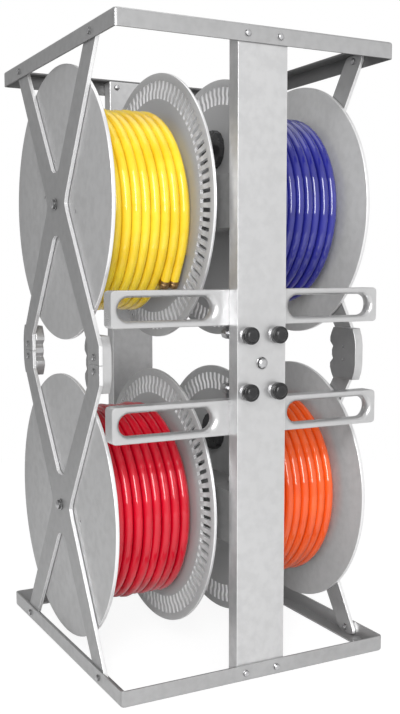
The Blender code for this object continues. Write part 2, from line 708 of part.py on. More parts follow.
# ---------------------------------------------------------------- locks
def lever(sx, sz):
    """Arm with a tooth for a slot, drawn locked, then turned to rest.

    Outline points are (towards the flange, away from half height).
    """
    slot = 2 * math.pi * TOOTH_SLOT / SLOT_COUNT
    height = AXLE_SPACING / 2 - TOOTH_AT * math.cos(slot) - LOCK_Z
    lean = math.radians(LEVER_LOCKED)
    along = Vector((math.sin(lean), math.cos(lean)))
    side = Vector((math.cos(lean), -math.sin(lean))) * LEVER_WIDTH / 2
    top = along * (height / math.cos(lean) + LEVER_PAST)
    reach = INNER_FLANGE_FACE + TOOTH_PAST - LOCK_X
    half = TOOTH_HEIGHT / 2
    root = height * math.tan(lean) + side.length / math.cos(lean)
    drop = half * math.tan(lean)
    outline = [-side, side, Vector((root - drop, height - half)),
               Vector((reach, height - 0.8 * half)), Vector((reach, height + 0.8 * half)),
               Vector((root + drop, height + half)), top + side, top - side]
    y = -TOOTH_AT * math.sin(slot)
    bm = plate([[(p.x, p.y) for p in outline]], "Y", y - LEVER_THICK / 2, y + LEVER_THICK / 2)
    for v in bm.verts:
        if v.co.x > root + drop:
            v.co.z += (v.co.y - y) / math.tan(slot)
    turn = Matrix.Rotation(-math.radians(LEVER_LOCKED + LEVER_REST), 4, "Y")
    bmesh.ops.transform(bm, matrix=turn, verts=bm.verts)
    bmesh.ops.scale(bm, vec=(sx, 1, sz), verts=bm.verts)
    return bm, y


def lock(colour, sx, level):
    """Knob, rod and toothed lever of one reel's lock."""
    sz = 1 if level == "upper" else -1
    origin = (sx * LOCK_X, 0, MID + sz * LOCK_Z)
    axis = empty(colour + "_lock_axis", origin)
    front = -UPRIGHT_FACE - KNOB_LENGTH * 0.7
    bm, y = lever(sx, sz)
    back = y + LEVER_THICK / 2 + 1.0
    hub = -GUIDE_BACK + GAP
    profile = [(front, 0.0), (front, LOCK_ROD_RADIUS), (hub, LOCK_ROD_RADIUS),
               (hub, LOCK_HUB_RADIUS), (back, LOCK_HUB_RADIUS), (back, 0.0)]
    rod = place(colour + "_lock_rod", turned(profile, PIN_SIDES, "Y", closed=False), BRIGHT,
                origin, axis, smooth=40)
    fuse(rod, place(colour + "_lever_shape", bm, BRIGHT, origin, axis))

    t0 = -UPRIGHT_FACE - GAP
    r = KNOB_RADIUS
    bore = hole_radius(LOCK_ROD_RADIUS, 12)
    length = KNOB_LENGTH
    profile = [(front - GAP, 0.0), (front - GAP, bore), (t0, bore), (t0, 0.86 * r),
               (t0 - 0.2 * length, 0.86 * r), (t0 - 0.26 * length, r),
               (t0 - 0.7 * length, r), (t0 - 0.9 * length, 0.75 * r), (t0 - length, 0.0)]
    place(colour + "_lock_knob", turned(profile, 12, "Y", closed=False), BLACK, origin,
          axis, smooth=50)


for colour, sx, level in REELS:
    lock(colour, sx, level)

t0 = -UPRIGHT_FACE - GAP
r = BOLT_HEAD_RADIUS
h = BOLT_HEAD_HEIGHT
profile = [(t0 - h, 0.0), (t0 - 0.8 * h, 0.6 * r), (t0 - 0.3 * h, r), (t0, r),
           (t0, BOLT_RADIUS), (-UPRIGHT_BACK + BOLT_TAIL, BOLT_RADIUS),
           (-UPRIGHT_BACK + BOLT_TAIL, 0.0)]
place("centre_bolt", turned(profile, 12, "Y", closed=False), BRIGHT, (0, 0, MID), smooth=50)


# ---------------------------------------------------------------- drag blocks
def drag_block(level):
    """Bracket on the beam with a puck against each slotted flange."""
    z = AXLE_Z[level]
    face = INNER_FLANGE_AT - GAP
    back = face - DRAG_THICK
    r = DRAG_RADIUS
    half = [(face, 0.0), (face, r), (back, r), (back, DRAG_STEM)]
    profile = [(-t, rr) for t, rr in half] + [(t, rr) for t, rr in reversed(half)]
    origin = (0, 0, z + DRAG_ABOVE)
    block = place("drag_block_" + level, turned(profile, 14, closed=False), BLACK, origin,
                  smooth=40)
    foot = BEAM_HEIGHT / 2 + GAP - DRAG_ABOVE
    w = DRAG_WEB / 2
    hw = BEAM_WIDTH / 2 - 4.0
    top = DRAG_STEM * 0.4
    outline = [(-hw, foot), (hw, foot), (hw, foot + 4.0), (w, foot + 7.0), (w, top),
               (-w, top), (-w, foot + 7.0), (-hw, foot + 4.0)]
    bm = plate([outline], "Y", -DRAG_DEPTH / 2, DRAG_DEPTH / 2)
    web = place("drag_web_shape_" + level, bm, BLACK, origin)
    fuse(block, web)


drag_block("upper")
drag_block("lower")
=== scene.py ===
import json
import math

import bmesh
import bpy
from mathutils import Matrix, Vector

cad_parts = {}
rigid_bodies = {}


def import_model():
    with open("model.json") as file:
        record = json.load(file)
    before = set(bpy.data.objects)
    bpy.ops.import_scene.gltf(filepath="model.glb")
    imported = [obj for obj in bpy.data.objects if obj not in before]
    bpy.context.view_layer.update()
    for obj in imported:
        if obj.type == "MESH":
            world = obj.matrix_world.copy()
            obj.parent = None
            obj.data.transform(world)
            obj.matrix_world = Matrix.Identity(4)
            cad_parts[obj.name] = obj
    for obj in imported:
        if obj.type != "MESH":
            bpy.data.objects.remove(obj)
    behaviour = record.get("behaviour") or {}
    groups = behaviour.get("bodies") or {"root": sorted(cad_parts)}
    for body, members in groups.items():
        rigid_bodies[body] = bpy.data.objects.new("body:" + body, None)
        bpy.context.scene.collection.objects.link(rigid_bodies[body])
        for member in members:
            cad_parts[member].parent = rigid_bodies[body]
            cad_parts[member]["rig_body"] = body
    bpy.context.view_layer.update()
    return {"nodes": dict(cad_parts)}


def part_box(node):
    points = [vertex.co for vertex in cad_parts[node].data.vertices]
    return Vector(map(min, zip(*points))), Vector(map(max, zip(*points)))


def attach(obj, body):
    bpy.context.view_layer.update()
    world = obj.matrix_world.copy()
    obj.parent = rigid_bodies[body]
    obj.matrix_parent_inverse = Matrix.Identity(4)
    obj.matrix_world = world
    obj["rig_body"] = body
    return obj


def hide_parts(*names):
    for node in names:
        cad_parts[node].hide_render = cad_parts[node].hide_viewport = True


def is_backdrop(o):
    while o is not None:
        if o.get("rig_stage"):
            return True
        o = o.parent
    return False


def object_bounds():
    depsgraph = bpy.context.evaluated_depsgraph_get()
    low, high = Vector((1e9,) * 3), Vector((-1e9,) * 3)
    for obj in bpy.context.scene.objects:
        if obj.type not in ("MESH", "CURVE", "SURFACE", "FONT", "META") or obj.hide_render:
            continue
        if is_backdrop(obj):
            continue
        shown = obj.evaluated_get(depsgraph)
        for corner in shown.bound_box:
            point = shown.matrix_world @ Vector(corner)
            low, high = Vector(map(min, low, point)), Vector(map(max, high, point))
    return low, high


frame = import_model()

MM = 0.001
FULL = 2 * math.pi

# Sizes in millimetres, the first ones as in the CAD part. Places come from the CAD nodes' boxes.
FLANGE_BORE = 17.0
SLOT_COUNT = 84
SLOT_INNER = 171.0
SLOT_OUTER = 199.0
SLOT_WIDTH = 6.6
HOSE_RADIUS = 7.4
HOSE_TURNS = 8
HOSE_PITCH = 15.6
COIL_RADIUS = 150.0
HOSE_START = 76.0
HOSE_TAIL = 50.0
GUIDE_SLOT_IN = 66.0
GUIDE_SLOT_OUT = 215.0
GUIDE_SLOT_HEIGHT = 33.0
GUIDE_FLARE = 6.0
GUIDE_FLARE_IN = 15.0
GUIDE_FLARE_OUT = 9.0
GUIDE_FLARE_DEPTH = 10.0
GUIDE_CORNER = 7.0
LAYER_DROP = 12.8           # from one layer of hose to the next
LAND_STEP = 1.8             # the outer half of a slotted band, towards the rack's middle
LOOP_STEPS = 48             # points in each turn of hose
HOSE_LIFT = 0.6
HOSE_WANDER = 2.0           # how far a strand strays in and out
INNER_EXTRA = 0.45          # what the layer below runs further at each end, in turns
TAIL_CUT = 6.0              # the yellow tails are shorter, so that the ferrules show
PACK_INSIDE = 70.6          # inner radius of the deeper turns
BAND_BEND = 4.0             # half the run of a slotted band's step
GUIDE_EDGE = 0.8            # chamfer round a guide's outline
DISC_EDGE = 1.2             # rounded rim of an outer flange
EDGE_ANGLE = 24             # degrees; edges sharper than this are rounded
KNOB_SPREAD = 1.04          # a knob's cap over its CAD radius, as seen
CAP_SHOULDER = 1.8
BOLT_RADIUS = 9.2
BOLT_HEIGHT = 7.4
SCREW_RADIUS = 5.25         # heads on the rings, arms and splice plates
GRIP_SCREW_RADIUS = 2.4
DISC_SCREW_RADIUS = 3.2
DISC_SCREW_RING = 70.0      # radius of the ring of screws on an outer flange
DISC_SCREWS = 6
FRAME_THICK = 6.0           # X frame plate
RING_SCREW_HEIGHTS = ((946.5, "top"), (12.5, "bottom"))
RING_SCREW_SIDE = 27.0      # from the middle of an upright
ARM_SCREW_AT = 160.0        # in front of or behind the middle
SPLICE_SCREW_AT = 152.0
SPLICE_SCREW_HEIGHTS = ((491, "upper"), (470, "lower"))
GRIP_SCREW_SHIFT = 12.0     # towards the waves of a hand grip

# Places in metres.
SHIFT_Y = 7.5 * MM          # the design's middle behind the box's middle
HEIGHT = 0.960

COLOURS = ("yellow", "blue", "red", "orange")
LEVELS = ("upper", "lower")
SIDES = {"left": -1, "right": 1}
ENDS = {"front": -1, "rear": 1}
REEL_SIDE = {"yellow": -1, "red": -1, "blue": 1, "orange": 1}
REEL_LEVEL = {"yellow": "upper", "blue": "upper", "red": "lower", "orange": "lower"}
SAG = {"yellow": 8.0, "blue": 1.5, "red": 1.5, "orange": 1.5}
TAIL_ANGLE = {"yellow": 30, "blue": 90, "red": 90, "orange": 90}


# ---------------------------------------------------------------- node groups
def group(name, inputs, outputs):
    """A new shader node group with its input and output nodes."""
    tree = bpy.data.node_groups.new(name, "ShaderNodeTree")
    for label, kind, value in inputs:
        socket = tree.interface.new_socket(label, in_out="INPUT", socket_type=kind)
        if value is not None:
            socket.default_value = value
    for label, kind in outputs:
        tree.interface.new_socket(label, in_out="OUTPUT", socket_type=kind)
    return tree, tree.nodes.new("NodeGroupInput"), tree.nodes.new("NodeGroupOutput")


def node(tree, kind, **values):
    """A node with its named inputs set; keys in lower case are properties."""
    made = tree.nodes.new(kind)
    for key, value in values.items():
        if key[0].islower():
            setattr(made, key, value)
        else:
            made.inputs[key.replace("_", " ")].default_value = value
    return made


def ramp(tree, fac, stops):
    """A colour ramp from (place, grey) stops, driven by the socket fac."""
    made = tree.nodes.new("ShaderNodeValToRGB")
    elements = made.color_ramp.elements
    while len(elements) < len(stops):
        elements.new(0.5)
    for element, (place, grey) in zip(elements, stops):
        element.position = place
        element.color = (grey, grey, grey, 1.0)
    tree.links.new(fac, made.inputs["Fac"])
    return made.outputs["Color"]


def math_node(tree, operation, one, two=None):
    """A math node fed by sockets or numbers."""
    made = tree.nodes.new("ShaderNodeMath")
    made.operation = operation
    for socket, value in zip(made.inputs, (one, two)):
        if value is None:
            continue
        if isinstance(value, (int, float)):
            socket.default_value = value
        else:
            tree.links.new(value, socket)
    return made.outputs[0]


def make_grain():
    """Fine lines drawn out along one direction."""
    tree, start, end = group(
        "grain lines",
        [("Vector", "NodeSocketVector", None), ("Across", "NodeSocketVector", (1, 1, 1)),
         ("Height", "NodeSocketFloat", 0.2)],
        [("Value", "NodeSocketFloat"), ("Normal", "NodeSocketVector")])
    stretch = node(tree, "ShaderNodeVectorMath", operation="MULTIPLY")
    tree.links.new(start.outputs["Vector"], stretch.inputs[0])
    tree.links.new(start.outputs["Across"], stretch.inputs[1])
    noise = node(tree, "ShaderNodeTexNoise", Scale=1.0, Detail=4.0, Roughness=0.62)
    tree.links.new(stretch.outputs[0], noise.inputs["Vector"])
    bump = node(tree, "ShaderNodeBump", Distance=0.0002)
    tree.links.new(noise.outputs["Fac"], bump.inputs["Height"])
    tree.links.new(start.outputs["Height"], bump.inputs["Strength"])
    tree.links.new(noise.outputs["Fac"], end.inputs["Value"])
    tree.links.new(bump.outputs["Normal"], end.inputs["Normal"])
    return tree


def make_turning():
    """Fine circular lines round a level axis at the given height."""
    tree, start, end = group(
        "turning lines",
        [("Vector", "NodeSocketVector", None), ("Centre", "NodeSocketVector", (0, 0, 0)),
         ("Lines", "NodeSocketFloat", 900.0), ("Height", "NodeSocketFloat", 0.2)],
        [("Value", "NodeSocketFloat"), ("Normal", "NodeSocketVector")])
    offset = node(tree, "ShaderNodeVectorMath", operation="SUBTRACT")
    tree.links.new(start.outputs["Vector"], offset.inputs[0])
    tree.links.new(start.outputs["Centre"], offset.inputs[1])
    flat = node(tree, "ShaderNodeVectorMath", operation="MULTIPLY")
    flat.inputs[1].default_value = (0, 1, 1)
    tree.links.new(offset.outputs[0], flat.inputs[0])
    far = node(tree, "ShaderNodeVectorMath", operation="LENGTH")
    tree.links.new(flat.outputs[0], far.inputs[0])
    count = math_node(tree, "MULTIPLY", far.outputs["Value"], start.outputs["Lines"])
    noise = node(tree, "ShaderNodeTexNoise", noise_dimensions="1D", Scale=1.0, Detail=3.0)
    tree.links.new(count, noise.inputs["W"])
    bump = node(tree, "ShaderNodeBump", Distance=0.0002)
    tree.links.new(noise.outputs["Fac"], bump.inputs["Height"])
    tree.links.new(start.outputs["Height"], bump.inputs["Strength"])
    tree.links.new(noise.outputs["Fac"], end.inputs["Value"])
    tree.links.new(bump.outputs["Normal"], end.inputs["Normal"])
    return tree


def make_clouds():
    """Slow soft patches, as of handling and oxide."""
    tree, start, end = group(
        "soft patches",
        [("Vector", "NodeSocketVector", None), ("Scale", "NodeSocketFloat", 6.0)],
        [("Value", "NodeSocketFloat")])
    noise = node(tree, "ShaderNodeTexNoise", Detail=3.0, Roughness=0.55, Distortion=0.4)
    tree.links.new(start.outputs["Vector"], noise.inputs["Vector"])
    tree.links.new(start.outputs["Scale"], noise.inputs["Scale"])
    soft = ramp(tree, noise.outputs["Fac"], ((0.32, 0.0), (0.68, 1.0)))
    tree.links.new(soft, end.inputs["Value"])
    return tree


def make_wear():
    """A mask of rubbed outer edges, broken up by noise."""
    tree, start, end = group(
        "rubbed edges",
        [("Vector", "NodeSocketVector", None), ("Amount", "NodeSocketFloat", 1.0)],
        [("Value", "NodeSocketFloat")])
    shape = tree.nodes.new("ShaderNodeNewGeometry")
    edge = ramp(tree, shape.outputs["Pointiness"], ((0.505, 0.0), (0.56, 1.0)))
    noise = node(tree, "ShaderNodeTexNoise", Scale=70.0, Detail=3.0)
    tree.links.new(start.outputs["Vector"], noise.inputs["Vector"])
    broken = ramp(tree, noise.outputs["Fac"], ((0.35, 0.25), (0.6, 1.0)))
    both = math_node(tree, "MULTIPLY", edge, broken)
    scaled = math_node(tree, "MULTIPLY", both, start.outputs["Amount"])
    tree.links.new(scaled, end.inputs["Value"])
    return tree


GRAIN = make_grain()
TURNING = make_turning()
CLOUDS = make_clouds()
WEAR = make_wear()


def use(tree, which, **values):
    """A group node of the given shared effect."""
    made = tree.nodes.new("ShaderNodeGroup")
    made.node_tree = which
    for key, value in values.items():
        if hasattr(value, "is_output"):
            tree.links.new(value, made.inputs[key])
        else:
            made.inputs[key].default_value = value
    return made


def between(tree, fac, low, high):
    """A number that goes from low to high with fac."""
    made = tree.nodes.new("ShaderNodeMapRange")
    made.inputs["To Min"].default_value = low
    made.inputs["To Max"].default_value = high
    tree.links.new(fac, made.inputs["Value"])
    return made.outputs["Result"]


def blend_colours(tree, fac, one, two, mode="MIX"):
    """A mix of two colours, each a socket or a tuple."""
    made = tree.nodes.new("ShaderNodeMix")
    made.data_type = "RGBA"
    made.blend_type = mode
    if isinstance(fac, (int, float)):
        made.inputs[0].default_value = fac
    else:
        tree.links.new(fac, made.inputs[0])
    for socket, value in ((made.inputs[6], one), (made.inputs[7], two)):
        if isinstance(value, tuple):
            socket.default_value = (*value, 1.0)
        else:
            tree.links.new(value, socket)
    return made.outputs[2]


# ---------------------------------------------------------------- materials
BOUNCE_REACH = 0.018        # metres within which a hose keeps its full colour for its neighbours
BOUNCE_FADE = 0.95
BOUNCE_GREY = (0.42, 0.42, 0.42)


def new_material(name):
    """A material with its tree, shader and object coordinates."""
    mat = bpy.data.materials.new(name)
    mat.use_nodes = True
    tree = mat.node_tree
    shader = tree.nodes["Principled BSDF"]
    place = tree.nodes.new("ShaderNodeTexCoord").outputs["Object"]
    return mat, tree, shader, place


def metal(name, light, dark, rough, lines, height, turned_about=None, wear=0.5, share=1.0):
    """Satin or bright metal with drawn or turned lines and rubbed edges."""
    mat, tree, shader, place = new_material(name)
    if turned_about is None:
        fine = use(tree, GRAIN, Vector=place, Across=lines, Height=height)
    else:
        fine = use(tree, TURNING, Vector=place, Centre=turned_about, Lines=lines, Height=height)
    patch = use(tree, CLOUDS, Vector=place, Scale=7.0).outputs[0]
    rubbed = use(tree, WEAR, Vector=place, Amount=wear).outputs[0]
    base = blend_colours(tree, patch, dark, light)
    streaked = blend_colours(tree, between(tree, fine.outputs["Value"], 0.0, 0.35), base, dark)
    bright = tuple(min(1.0, c * 1.25) for c in light)
    colour = blend_colours(tree, rubbed, streaked, bright)
    tree.links.new(colour, shader.inputs["Base Color"])
    shade = between(tree, patch, rough[1], rough[0])
    streak = between(tree, fine.outputs["Value"], -0.05, 0.05)
    summed = math_node(tree, "ADD", shade, streak)
    tree.links.new(math_node(tree, "SUBTRACT", summed, math_node(tree, "MULTIPLY", rubbed, 0.06)),
                   shader.inputs["Roughness"])
    tree.links.new(fine.outputs["Normal"], shader.inputs["Normal"])
    shader.inputs["Metallic"].default_value = share
    return mat


def moulded(name, colour, rough):
    """Black moulded plastic with a fine spark-eroded grain."""
    mat, tree, shader, place = new_material(name)
    fine = use(tree, GRAIN, Vector=place, Across=(1500, 1500, 1500), Height=0.35)
    patch = use(tree, CLOUDS, Vector=place, Scale=30.0).outputs[0]
    rubbed = use(tree, WEAR, Vector=place, Amount=0.5).outputs[0]
    base = blend_colours(tree, patch, colour, tuple(c * 1.5 for c in colour))
    worn = blend_colours(tree, rubbed, base, tuple(c * 2.6 + 0.02 for c in colour))
    tree.links.new(worn, shader.inputs["Base Color"])
    tree.links.new(between(tree, patch, rough[0], rough[1]), shader.inputs["Roughness"])
    tree.links.new(fine.outputs["Normal"], shader.inputs["Normal"])
    return mat


def hose_skin(name, colour, deep, rough, coat, gloss=1.72):
    """Smooth extruded hose: faint lines along it, haze and small scuffs."""
    mat, tree, shader, place = new_material(name)
    chart = tree.nodes.new("ShaderNodeUVMap")
    chart.uv_map = "around_along"
    lines = use(tree, GRAIN, Vector=chart.outputs["UV"], Across=(70, 6, 1), Height=0.12)
    patch = use(tree, CLOUDS, Vector=place, Scale=16.0).outputs[0]
    scuff = node(tree, "ShaderNodeTexNoise", Scale=240.0, Detail=5.0, Roughness=0.7)
    tree.links.new(place, scuff.inputs["Vector"])
    marks = ramp(tree, scuff.outputs["Fac"], ((0.60, 0.0), (0.72, 1.0)))
    base = blend_colours(tree, patch, colour, deep)
    streaked = blend_colours(tree, between(tree, lines.outputs["Value"], 0.0, 0.25), base, deep)
    path = tree.nodes.new("ShaderNodeLightPath")
    away = math_node(tree, "GREATER_THAN", path.outputs["Ray Length"], BOUNCE_REACH)
    bounced = math_node(tree, "ADD", path.outputs["Is Glossy Ray"],
                        path.outputs["Is Diffuse Ray"])
    fade = math_node(tree, "MULTIPLY", math_node(tree, "MULTIPLY", bounced, away), BOUNCE_FADE)
    tree.links.new(blend_colours(tree, fade, streaked, BOUNCE_GREY), shader.inputs["Base Color"])
    shade = between(tree, patch, rough[0], rough[1])
    tree.links.new(math_node(tree, "ADD", shade, math_node(tree, "MULTIPLY", marks, 0.12)),
                   shader.inputs["Roughness"])
    tree.links.new(lines.outputs["Normal"], shader.inputs["Normal"])
    shader.inputs["Coat Weight"].default_value = coat
    shader.inputs["Coat Roughness"].default_value = 0.05
    shader.inputs["Coat IOR"].default_value = gloss
    shader.inputs["Specular IOR Level"].default_value = 0.1
    return mat


def centre_of(name):
    """The middle of a CAD node's box."""
    low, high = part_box(name)
    return (low + high) / 2


PALE = (0.62, 0.62, 0.624)
GREY = (0.612, 0.612, 0.615)
bar_metal = metal("satin bar", PALE, GREY, (0.355, 0.365), (900, 900, 14), 0.06, share=0.75)
ring_metal = metal("satin ring", (0.455, 0.455, 0.458), (0.445, 0.445, 0.447), (0.355, 0.365),
                   (16, 16, 900), 0.06, share=0.75)
guide_metal = metal("satin guide", (0.62, 0.62, 0.623), (0.60, 0.60, 0.602), (0.30, 0.34),
                    (14, 900, 900), 0.06, share=0.75)
plate_metal = metal("satin plate", (0.385, 0.385, 0.388), (0.365, 0.365, 0.367), (0.40, 0.43),
                    (500, 500, 60), 0.05, share=0.55)
grip_metal = metal("satin grip", (0.30, 0.30, 0.303), (0.27, 0.27, 0.272), (0.38, 0.44),
                   (500, 500, 60), 0.05, share=0.6)
# A darker copy of the ring metal for the top ring's inward and downward faces: painted shade.
painted_shade_bar_metal = metal("bar inside painted shade", (0.20, 0.20, 0.202), (0.17, 0.17, 0.171), (0.42, 0.5),
                    (60, 60, 900), 0.06, share=0.6)
# A near-black copy of bright steel for the steep rims of domed heads: painted reflection of dark
# surroundings.
painted_reflection_rim_metal = metal("screw rim painted reflection", (0.085, 0.085, 0.086), (0.07, 0.07, 0.071), (0.32, 0.38),
                  (900, 900, 900), 0.03, share=0.5)
# A near-white copy of the satin metal for plate edges, slot walls, disc rims and upright corners:
# painted highlight.
painted_highlight_edge_metal = metal("edge painted highlight", (0.90, 0.90, 0.905), (0.86, 0.86, 0.865), (0.34, 0.38),
                  (300, 300, 300), 0.05, share=0.6)
beam_metal = metal("satin beam", (0.36, 0.36, 0.36), (0.32, 0.32, 0.32), (0.40, 0.46),
                   (900, 14, 900), 0.06, share=0.5)
bright_metal = metal("bright steel", (0.66, 0.66, 0.67), (0.58, 0.58, 0.59), (0.27, 0.32),
                     (300, 300, 300), 0.03, wear=0.2)
brass_metal = metal("aged brass", (0.42, 0.27, 0.12), (0.26, 0.16, 0.08), (0.30, 0.42),
                    (300, 300, 300), 0.06, wear=0.3)


def disc_metal(name, light, dark):
    """A disc's look for each level, turned about that level's axle."""
    return {level: metal("%s %s" % (name, level), light, dark, (0.50, 0.54), 700.0, 0.06,
                         turned_about=tuple(centre_of("axle_" + level)), share=0.3)
            for level in LEVELS}


hub_metal = disc_metal("disc inside", (0.55, 0.55, 0.553), (0.53, 0.53, 0.532))
# A darker copy of the disc metal for the outer flanges' outward faces: painted shade.
painted_shade_disc_metal = disc_metal("disc outside painted shade", (0.45, 0.45, 0.453), (0.43, 0.43, 0.432))
black_plastic = moulded("black plastic", (0.013, 0.013, 0.014), (0.22, 0.34))
hose_look = {
    "yellow": hose_skin("yellow hose", (0.95, 0.725, 0.045), (0.86, 0.57, 0.018), (0.34, 0.44),
                        0.7),
    "blue": hose_skin("blue hose", (0.025, 0.028, 0.30), (0.012, 0.014, 0.20), (0.3, 0.4), 1.0),
    "red": hose_skin("red hose", (0.70, 0.002, 0.022), (0.52, 0.001, 0.014), (0.3, 0.4), 1.0,
                     gloss=1.6),
    "orange": hose_skin("orange hose", (0.95, 0.13, 0.015), (0.80, 0.085, 0.008), (0.3, 0.4),
                        0.9)}


# ---------------------------------------------------------------- mesh helpers
def show(name, bm, look, body, replaced=(), smooth=None, weighted=False, second=None):
    """Make a piece from a bmesh in metres and let it ride on a CAD body.

    second is (look, test): another look for the faces that pass the test.
    """
    bmesh.ops.recalc_face_normals(bm, faces=bm.faces)
    if second:
        for face in bm.faces:
            face.material_index = int(second[1](face))
    mesh = bpy.data.meshes.new(name)
    bm.to_mesh(mesh)
    bm.free()
    obj = bpy.data.objects.new(name, mesh)
    bpy.context.scene.collection.objects.link(obj)
    mesh.materials.append(look)
    if second:
        mesh.materials.append(second[0])
    if smooth is not None:
        mesh.shade_smooth()
        mesh.set_sharp_from_angle(angle=math.radians(smooth))
    if weighted:
        mod = obj.modifiers.new("even shading", "WEIGHTED_NORMAL")
        mod.keep_sharp = True
        mod.weight = 80
    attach(obj, body)
    if replaced:
        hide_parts(*replaced)
    return obj


def body_of(name):
    """The CAD body that a node belongs to."""
    return frame["nodes"][name]["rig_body"]


def dress(name, look):
    """Give a CAD node that keeps its own shape a better look."""
    mesh = frame["nodes"][name].data
    mesh.materials.clear()
    mesh.materials.append(look)


def across(face):
    """Whether a face lies across a plate's edge."""
    return abs(face.normal.x) < 0.8


def corner(face):
    """Whether a face belongs to a rounded upright edge, which gets a painted highlight."""
    return abs(face.normal.x) > 0.25 and abs(face.normal.y) > 0.25


def inside_bar(face):
    """Whether a face of the top ring looks inwards or down; these faces get painted shade."""
    middle = face.calc_center_median()
    inward = middle.x * face.normal.x + (middle.y - SHIFT_Y) * face.normal.y < -0.1
    return inward and face.normal.z < 0.5 or face.normal.z < -0.5


def edged(name, width, look, segments=2, bend=None, second=None):
    """A CAD node's own shape with its sharp edges rounded by width.

    bend is (height, radius) of an outer bend that is rounded more.
    """
    bm = bmesh.new()
    bm.from_mesh(frame["nodes"][name].data)
    bmesh.ops.remove_doubles(bm, verts=bm.verts, dist=2e-6)
    bmesh.ops.dissolve_limit(bm, angle_limit=math.radians(1.0), verts=bm.verts, edges=bm.edges)
    if bend:
        reach = max(abs(v.co.x) for v in bm.verts) - 10 * MM
        depth = max(v.co.y for v in bm.verts) - 10 * MM
        outer = [e for e in bm.edges
                 if all(abs(v.co.z - bend[0]) < MM and (abs(v.co.x) > reach or v.co.y > depth
                                                        or v.co.y < 2 * SHIFT_Y - depth)
                        for v in e.verts)
                 and e.calc_face_angle(0.0) > math.radians(60)]
        bmesh.ops.bevel(bm, geom=outer, offset=bend[1], segments=5, profile=0.5,
                        affect="EDGES", clamp_overlap=True)
    sharp = [e for e in bm.edges
             if len(e.link_faces) == 2 and e.calc_face_angle(0.0) > math.radians(EDGE_ANGLE)]
    bmesh.ops.bevel(bm, geom=sharp, offset=width * MM, segments=segments, profile=0.6,
                    affect="EDGES", clamp_overlap=True)
    return show(name + ".edged", bm, look, body_of(name), (name,), smooth=50,
                weighted=True, second=second)


def lathe(profile, n, matrix):
    """Revolve (t, r) points in millimetres about local z, then place them."""
    bm = bmesh.new()
    rows = []
    angles = [FULL * i / n for i in range(n)]
    for t, r in profile:
        if r < 1e-6:
            rows.append([bm.verts.new((0, 0, t * MM))] * n)
            continue
        rows.append([bm.verts.new((r * math.cos(a) * MM, r * math.sin(a) * MM, t * MM))
                     for a in angles])
    for one, two in zip(rows, rows[1:]):
        for i in range(n):
            j = (i + 1) % n
            quad = []
            for v in (one[i], one[j], two[j], two[i]):
                if v not in quad:
                    quad.append(v)
            if len(quad) > 2:
                bm.faces.new(quad)
    if profile[0] == profile[-1]:
        bmesh.ops.remove_doubles(bm, verts=bm.verts, dist=1e-7)
    bmesh.ops.transform(bm, matrix=matrix, verts=bm.verts)
    return bm


def aim(point, direction):
    """A matrix that puts local z along direction at a point in metres."""
    turn = Vector((0, 0, 1)).rotation_difference(Vector(direction)).to_matrix().to_4x4()
    return Matrix.Translation(Vector(point)) @ turn


def arc(centre, radius, start, stop, steps):
    """Points round part of a circle, for rounded corners of a profile."""
    return [(centre[0] + radius * math.cos(math.radians(start + (stop - start) * i / steps)),
             centre[1] + radius * math.sin(math.radians(start + (stop - start) * i / steps)))
            for i in range(steps + 1)]


def dome(radius, height, rim):
    """The profile of a domed head on a short straight rim."""
    rise = [(rim + (height - rim) * math.sin(math.radians(a)),
             0.93 * radius * math.cos(math.radians(a))) for a in range(0, 90, 10)]
    return [(-0.3, 0.0), (-0.3, radius), (0.6 * rim, radius)] + rise + [(height, 0.0)]


def steep(direction):
    """A test for the steep faces round a domed head, which get a dark painted reflection."""
    way = Vector(direction).normalized()
    return lambda face: -0.2 < face.normal.dot(way) < 0.66


def screw(name, point, direction, radius, body, height=0.76):
    """A domed screw head with a dark painted reflection round its steep rim."""
    bm = lathe(dome(radius, height * radius, 0.16 * radius), 24, aim(point, direction))
    return show(name, bm, bright_metal, body, smooth=35,
                second=(painted_reflection_rim_metal, steep(direction)))


def tube(points, radius, sides=16):
    """A tube with open mouths along points in metres, and UVs around and along it."""
    bm = bmesh.new()
    chart = bm.loops.layers.uv.new("around_along")
    count = len(points)
    runs = [(points[min(i + 1, count - 1)] - points[max(i - 1, 0)]).normalized()
            for i in range(count)]
    side = runs[0].orthogonal().normalized()
    rings = []
    far = 0.0
    for i, point in enumerate(points):
        if i:
            far += (point - points[i - 1]).length
            side = runs[i - 1].rotation_difference(runs[i]) @ side
        side = (side - runs[i] * side.dot(runs[i])).normalized()
        up = runs[i].cross(side)
        ring = [bm.verts.new(point + (side * math.cos(FULL * k / sides)
                                      + up * math.sin(FULL * k / sides)) * radius)
                for k in range(sides)]
        rings.append((ring, far))
    for (one, u), (two, w) in zip(rings, rings[1:]):
        for k in range(sides):
            m = (k + 1) % sides
            face = bm.faces.new((one[k], one[m], two[m], two[k]))
            span = (k / sides, (k + 1) / sides, (k + 1) / sides, k / sides)
            for loop, a, b in zip(face.loops, span, (u, u, w, w)):
                loop[chart].uv = (a, b)
    for end in (0, -1):
        ring = rings[end][0]
        inward = runs[end] * (1 if end == 0 else -1)
        last = ring
        for size, depth in ((0.62, 0.0), (0.62, 1.2)):
            inner = [bm.verts.new(points[end] + (v.co - points[end]) * size
                                  + inward * depth * radius) for v in ring]
            for k in range(sides):
                m = (k + 1) % sides
                bm.faces.new((last[k], last[m], inner[m], inner[k]))
            last = inner
        bm.faces.new(last)
    return bm


# ---------------------------------------------------------------- camera
CAMERA_AT = (-0.78042 * HEIGHT, -1.53641 * HEIGHT + SHIFT_Y, 0.64329 * HEIGHT)
CAMERA_TURN = -0.48432
CAMERA_DROP = 0.10964
CAMERA_ROLL = -0.00205
FOCAL_PIXELS = 982.417
PICTURE_HEIGHT = 714.0
LENS_CENTRE = 377.215

